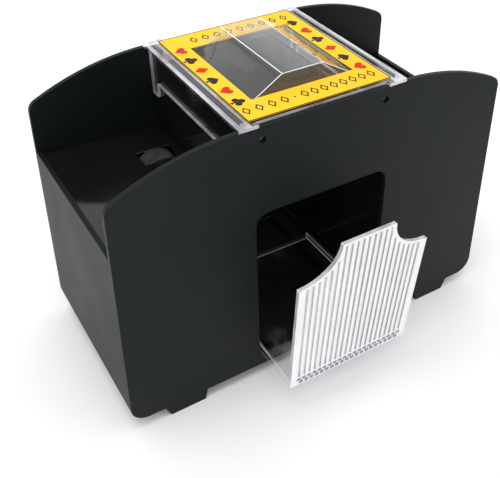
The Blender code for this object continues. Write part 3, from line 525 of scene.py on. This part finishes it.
def make_drawer():
    """The clear drawer with upright rounded ribs on its leaning front."""
    low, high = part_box("drawer")
    bm = solid_of("drawer")
    lean, front = front_lean(bm, low.z, high.z)
    soften(bm, sharp_edges(bm, 40.0), EDGE)
    grooves = bmesh.new()
    count = int(high.x * 2.0 / RIB_PITCH) - 1
    for i in range(count):
        x = (i - (count - 1) / 2.0) * RIB_PITCH
        top = groove_top(abs(x) + RIB_PITCH * 0.4, high)
        add_groove(grooves, x, low.z + GROOVE_BOTTOM, top, front, lean, low.z)
        for foot, head, shift in NOTCH_ROWS:
            if not shift or i < count - 1:
                notch_x = x + shift * RIB_PITCH
                add_groove(grooves, notch_x, low.z + foot, low.z + head, front, lean, low.z)
    bm = cut(bm, grooves)
    bmesh.ops.triangulate(bm, faces=[f for f in bm.faces if len(f.verts) > 4])
    # Front plate faces take painted light: crests a painted highlight, grooves a painted shade, the
    # notches below a painted reflection, and rim faces a painted highlight.
    for face in bm.faces:
        centre = face.calc_center_median()
        depth = centre.y - front - lean * (centre.z - low.z)
        if depth > PLATE_DEPTH or face.material_index != PANE:
            continue
        on_the_side = abs(face.normal.y) < 0.4 and depth > GROOVE_DEPTH
        if on_the_side or abs(face.normal.z) > 0.9:
            face.material_index = RIM
        elif centre.z < low.z + NOTCHES_TOP and depth > NOTCH_LEAST:
            face.material_index = NOTCH
        elif depth < CREST_DEPTH:
            face.material_index = CREST
        else:
            face.material_index = GROOVE
    finish_piece(
        "drawer_tray", bm, "drawer",
        extra=(CLEAR_EDGE_PAINTED_HIGHLIGHT, CLEAR_RIM_PAINTED_HIGHLIGHT, RIB_CREST_PAINTED_HIGHLIGHT, RIB_GROOVE_PAINTED_SHADE, RIB_END_PAINTED_REFLECTION),
    )


def front_lean(bm, bottom, top):
    """How far the front face leans per metre of height, and its y at the bottom."""
    foremost = {}
    for z in (bottom, top):
        foremost[z] = min(v.co.y for v in bm.verts if abs(v.co.z - z) < SAME)
    return (foremost[top] - foremost[bottom]) / (top - bottom), foremost[bottom]


def groove_top(x, high):
    """Where a groove ends below the scooped top edge at distance x from the middle."""
    if x <= NECK_HALF_X:
        return high.z - GROOVE_MARGIN
    share = (high.x - min(x, high.x)) / (high.x - NECK_HALF_X)
    return high.z - SHOULDER_DROP * math.sqrt(max(0.0, 1.0 - share ** 2)) - GROOVE_MARGIN


def add_groove(bm, x, bottom, top, front, lean, floor):
    """The gap between two rounded ribs, GROOVE_DEPTH deep, with shallow ends."""
    half = RIB_PITCH / 2.0
    radius = (half ** 2 + GROOVE_DEPTH ** 2) / (2.0 * GROOVE_DEPTH)
    section = []
    for i in range(GROOVE_STEPS + 1):
        across = (i * 2.0 / GROOVE_STEPS - 1.0) * (half - 0.02 * MM)
        aside = half - abs(across)
        section.append((across, radius - math.sqrt(radius ** 2 - aside ** 2)))
    ramp = min(GROOVE_RAMP, 0.4 * (top - bottom))
    heights = [(bottom, 0.1), (bottom + 0.45 * ramp, 0.75), (bottom + ramp, 1.0)]
    heights += [(top - ramp, 1.0), (top - 0.45 * ramp, 0.75), (top, 0.1)]
    rings = []
    for z, share in heights:
        face_y = front + lean * (z - floor)
        ring = [
            bm.verts.new((x + across, face_y + share * depth, z)) for across, depth in section
        ]
        for end in (1.0, -1.0):
            ring.append(bm.verts.new((x + end * half * 0.98, face_y - 1.0 * MM, z)))
        rings.append(ring)
    count = len(rings[0])
    for near, far in zip(rings, rings[1:]):
        for k in range(count):
            m = (k + 1) % count
            bm.faces.new((near[k], near[m], far[m], far[k]))
    bm.faces.new(list(reversed(rings[0])))
    bm.faces.new(rings[-1])
    bmesh.ops.recalc_face_normals(bm, faces=bm.faces)


# ---------------------------------------------------------------- clear cover

def make_cover():
    """The clear cover, with a painted highlight of milky white on its rounded ridges and its rim
    faces.
    """
    bm = solid_of("top_cover")
    label_low, label_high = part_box("cover_label")
    plate_z, top_z = label_low.z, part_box("top_cover")[1].z
    above, skirt, near = 1.0 * MM, 15.0 * MM, 0.5 * MM
    for x in (label_low.x, label_high.x):
        bmesh.ops.bisect_plane(
            bm, geom=bm.verts[:] + bm.edges[:] + bm.faces[:], dist=0.001 * MM,
            plane_co=(x, 0.0, 0.0), plane_no=(1.0, 0.0, 0.0),
        )
    # Rim faces take a painted highlight of milky white: faces across the front and back low down,
    # the skirts' undersides, and the margins beside the label.
    for face in bm.faces:
        x, _, z = face.calc_center_median()
        across = abs(face.normal.y) > 0.5 and z < plate_z + above
        under = face.normal.z < -0.5 and z < plate_z - skirt
        margin = face.normal.z > 0.9 and abs(z - plate_z) < near and abs(x) > label_high.x
        if across or under or margin:
            face.material_index = RIM
    soften(bm, [e for e in bm.edges if reaches(e, top_z)], RIDGE)
    bmesh.ops.triangulate(bm, faces=[f for f in bm.faces if len(f.verts) > 4])
    finish_piece("clear_cover", bm, "top_cover", crease=14.0, extra=(CLEAR_EDGE_PAINTED_HIGHLIGHT, CLEAR_RIM_PAINTED_HIGHLIGHT))


def reaches(edge, height):
    """True for an edge with an end at this height, as the raised middle's ridges have."""
    return max(v.co.z for v in edge.verts) > height - SAME


# ---------------------------------------------------------------- label print

# A suit is a list of outlines round its middle, with its top towards +Y.

def heart(size):
    points = []
    for i in range(28):
        t = 2.0 * math.pi * i / 28
        x = 16.0 * math.sin(t) ** 3
        y = 13.0 * math.cos(t) - 5.0 * math.cos(2 * t) - 2.0 * math.cos(3 * t) - math.cos(4 * t)
        points.append((x * size / 33.0, (y + 2.5) * size / 33.0))
    return [points]


def diamond(size):
    half_x, half_y = size * 0.4, size * 0.5
    return [[(0.0, half_y), (-half_x, 0.0), (0.0, -half_y), (half_x, 0.0)]]


def stem(size):
    right = [(0.17, -0.5), (0.06, -0.36), (0.035, -0.1)]
    left = [(-x, y) for x, y in reversed(right)]
    return [(x * size, y * size) for x, y in right + left]


def spade(size):
    body = [(-x, -y * 0.86 + size * 0.06) for x, y in heart(size)[0]]
    return [body, stem(size)]


def club(size):
    radius = size * 0.235
    discs = []
    for x, y in ((0.0, 0.26), (-0.245, -0.07), (0.245, -0.07)):
        discs.append(arc(x * size, y * size, radius, 0.0, 340.0, 17))
    return discs + [stem(size)]


SUITS = {"heart": heart, "diamond": diamond, "spade": spade, "club": club}


def print_shapes(name, shapes, material):
    """Thin ink shapes on the label; the outlines of one shape differ a little in height."""
    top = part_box("cover_label")[1].z
    bm = bmesh.new()
    for outlines in shapes:
        for number, outline in enumerate(outlines):
            prism(bm, outline, top - INK_ROOT, top + INK + INK_STEP * number)
    bmesh.ops.recalc_face_normals(bm, faces=bm.faces)
    return finish_piece(name, bm, "cover_label", material, replace=False)


def placed(outlines, x, y, turn):
    """Turn outlines and move them to (x, y) in the housing's frame."""
    cosine, sine = math.cos(turn), math.sin(turn)
    return [
        [(x + a * cosine - b * sine, CENTRE_Y + y + a * sine + b * cosine) for a, b in outline]
        for outline in outlines
    ]


def make_suits():
    """A column of playing card suits down each side strip, with their tops towards +X."""
    red, black = [], []
    for x, suits in zip(SUIT_X, (LEFT_SUITS, RIGHT_SUITS)):
        step = (SUIT_Y[1] - SUIT_Y[0]) / (len(suits) - 1)
        for i, suit in enumerate(suits):
            shape = placed(SUITS[suit](SUIT_SIZE), x, SUIT_Y[0] + i * step, -math.pi / 2.0)
            (red if suit in ("heart", "diamond") else black).append(shape)
    print_shapes("label_red_suits", red, RED_INK)
    print_shapes("label_black_suits", black, BLACK_INK)


def frame_strips(outer, inner):
    """The outlines of a thin frame, in four parts."""
    (ax, ay), (bx, by) = outer, inner
    return [
        [(-ax, -ay), (ax, -ay), (bx, -by), (-bx, -by)],
        [(ax, -ay), (ax, ay), (bx, by), (bx, -by)],
        [(ax, ay), (-ax, ay), (-bx, by), (bx, by)],
        [(-ax, ay), (-ax, -ay), (-bx, -by), (-bx, by)],
    ]


def make_label():
    """The label's sheet, its border, its ornament and its suits."""
    finish_piece("label_sheet", solid_of("cover_label"), "cover_label", edge=0.05 * MM, segments=1)
    low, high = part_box("cover_label")
    half = (high.x, (high.y - low.y) / 2.0)
    inner = (half[0] - BORDER_LINE, half[1] - BORDER_LINE)
    # The frame strips are a thin dark line round the label's edge, in the black ink finish.
    ornaments = [placed(frame_strips(half, inner), 0.0, 0.0, 0.0)]
    ornaments += ornament_row(FRONT_GROUPS, -ROW_Y)
    ornaments += ornament_row(REAR_GROUPS, ROW_Y)
    print_shapes("label_border_and_ornament", ornaments, BLACK_INK)
    make_suits()


def ornament_row(groups, y):
    """Outlined lozenges in groups, with a dot between two groups."""
    shapes = []
    end = None
    for first, pitch, count in groups:
        if end is not None:
            dot = [arc(0.0, 0.0, DOT_RADIUS, 0.0, 330.0, 11)]
            shapes.append(placed(dot, (end + first) / 2.0, y, 0.0))
        for i in range(count):
            shapes.append(placed(lozenge_outline(*LOZENGE), first + i * pitch, y, 0.0))
        end = first + (count - 1) * pitch
    return shapes


def lozenge_outline(half_x, half_y, line):
    """The four strips of a lozenge drawn with a line."""
    inner_x, inner_y = half_x - line, half_y - line * half_y / half_x
    outer = [(half_x, 0.0), (0.0, half_y), (-half_x, 0.0), (0.0, -half_y)]
    inner = [(inner_x, 0.0), (0.0, inner_y), (-inner_x, 0.0), (0.0, -inner_y)]
    strips = []
    for i in range(4):
        j = (i + 1) % 4
        strips.append([outer[i], outer[j], inner[j], inner[i]])
    return strips


# ---------------------------------------------------------------- rollers and fasteners

def turned(bm, profile, centre, steps):
    """Turn a closed profile of (radius, y) pairs round an axis along Y."""
    rings = []
    for i in range(steps):
        angle = 2.0 * math.pi * i / steps
        rings.append([
            bm.verts.new((
                centre.x + radius * math.cos(angle), centre.y + along,
                centre.z + radius * math.sin(angle),
            ))
            for radius, along in profile
        ])
    count = len(profile)
    for i in range(steps):
        near, far = rings[i], rings[(i + 1) % steps]
        for k in range(count):
            m = (k + 1) % count
            bm.faces.new((near[k], near[m], far[m], far[k]))
    bmesh.ops.recalc_face_normals(bm, faces=bm.faces)


def make_rollers():
    """Rubber feed rollers with grooves round them, on a recessed hub.

    bore, hub, web, web_end and tyre are radii.
    """
    bore, hub, web, web_end, tyre = 1.75 * MM, 4.2 * MM, 4.6 * MM, 8.2 * MM, 8.6 * MM
    recess, chamfer, groove = 0.8 * MM, 0.5 * MM, 0.5 * MM
    land, slope, slot_end = 0.7 * MM, 0.15 * MM, 0.45 * MM
    for node in sorted(NODES):
        if not node.startswith("feed_roller"):
            continue
        low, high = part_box(node)
        centre = (low + high) / 2.0
        radius, half = (high.z - low.z) / 2.0, (high.y - low.y) / 2.0
        profile = [(bore, -half), (hub, -half), (web, -half + recess)]
        profile += [(web_end, -half + recess), (tyre, -half), (radius - chamfer, -half)]
        y = -half + chamfer
        while y < half - slope - slot_end:
            profile += [(radius, y), (radius, y + land)]
            profile += [(radius - groove, y + land + slope)]
            profile += [(radius - groove, y + land + slot_end)]
            y += land + slope + slot_end
        profile += [(radius - chamfer, half), (tyre, half), (web_end, half - recess)]
        profile += [(web, half - recess), (hub, half), (bore, half)]
        bm = bmesh.new()
        turned(bm, profile, centre, 64)
        finish_piece(f"{node}_tyre", bm, node)


def make_screws():
    """Screws with a cross recess in their heads."""
    arm, half, depth, below = 1.7 * MM, 0.35 * MM, 0.55 * MM, 1.0 * MM
    for node in sorted(NODES):
        if "screw" not in node:
            continue
        low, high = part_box(node)
        x, y = (low.x + high.x) / 2.0, (low.y + high.y) / 2.0
        cross = bmesh.new()
        quarters = [
            (half, -arm), (half, -half), (arm, -half), (arm, half), (half, half), (half, arm),
        ]
        outline = quarters + [(-a, -b) for a, b in quarters]
        prism(cross, [(x + a, y + b) for a, b in outline], low.z - below, low.z + depth)
        bmesh.ops.recalc_face_normals(cross, faces=cross.faces)
        finish_piece(f"{node}_cross_head", cut(solid_of(node), cross), node)


# ---------------------------------------------------------------- the other nodes

# Widths of the softened edges, by finish; other finishes keep their edges as they are
EDGES = {
    "black_plastic": 0.3 * MM,
    "gloss_black_plastic": 0.3 * MM,
    "grey_inner_plastic": 0.25 * MM,
    "button_plastic": 0.2 * MM,
}


def make_the_rest():
    """Every node without a piece of its own keeps its shape, with softened edges where its finish
    has a width in EDGES.
    """
    for node in sorted(NODES):
        if NODES[node].hide_render:  # another piece replaces it
            continue
        edge = EDGES.get(SLOT_OF[node], 0.0)
        finish_piece(f"{node}_part", solid_of(node), node, edge=edge)


# ---------------------------------------------------------------- stage

def make_camera():
    """The camera at the photograph's viewing angle."""
    data = bpy.data.cameras.new("camera")
    data.lens = CAMERA_LENS
    data.shift_x = CAMERA_SHIFT_X
    camera = bpy.data.objects.new("camera", data)
    bpy.context.scene.collection.objects.link(camera)
    back = Vector((
        math.sin(CAMERA_AZIMUTH) * math.cos(CAMERA_ELEVATION),
        -math.cos(CAMERA_AZIMUTH) * math.cos(CAMERA_ELEVATION),
        math.sin(CAMERA_ELEVATION),
    ))
    target = Vector(CAMERA_TARGET) + Vector((0.0, CENTRE_Y, 0.0))
    camera.location = target + back * CAMERA_DISTANCE
    turn = (-back).to_track_quat("-Z", "Y").to_matrix().to_4x4()
    roll = Matrix.Rotation(CAMERA_ROLL, 4, "Z")
    camera.rotation_euler = (turn @ roll).to_euler()
    data.clip_start = 0.01
    data.clip_end = 50.0
    bpy.context.scene.camera = camera


def area_light(name, place, size, power):
    """A rectangular light that faces the object."""
    data = bpy.data.lights.new(name, "AREA")
    data.shape = "RECTANGLE"
    data.size, data.size_y = size
    data.energy = power
    light = bpy.data.objects.new(name, data)
    light.location = place
    aim = Vector((0.0, CENTRE_Y, LIGHT_AIM_Z))
    light.rotation_euler = (aim - Vector(place)).to_track_quat("-Z", "Y").to_euler()
    bpy.context.scene.collection.objects.link(light)


def make_stage():
    """The pale floor, the white surroundings and the lights."""
    floor = bmesh.new()
    bmesh.ops.create_circle(floor, cap_ends=True, segments=96, radius=FLOOR_RADIUS)
    mesh = bpy.data.meshes.new("floor")
    floor.to_mesh(mesh)
    floor.free()
    plane = bpy.data.objects.new("floor", mesh)
    plane.location.z = -FLOOR_DROP
    look = Look("floor_paper", (0.96, 0.96, 0.96), 0.9, level=0.1)
    look.mottle(6.0, (0.96, 0.96, 0.96), (0.94, 0.94, 0.945))
    mesh.materials.append(look.material)
    bpy.context.scene.collection.objects.link(plane)
    world = bpy.data.worlds.new("studio")
    world.use_nodes = True
    background = world.node_tree.nodes["Background"]
    background.inputs["Color"].default_value = (1.0, 1.0, 1.0, 1.0)
    background.inputs["Strength"].default_value = 1.0
    bpy.context.scene.world = world
    area_light("top_softbox", *TOP_SOFTBOX)
    area_light("back_panel", *BACK_PANEL)
    bpy.context.scene.view_settings.view_transform = "Standard"


make_housing()
make_drawer()
make_cover()
make_label()
make_rollers()
make_screws()
make_the_rest()
make_camera()
make_stage()
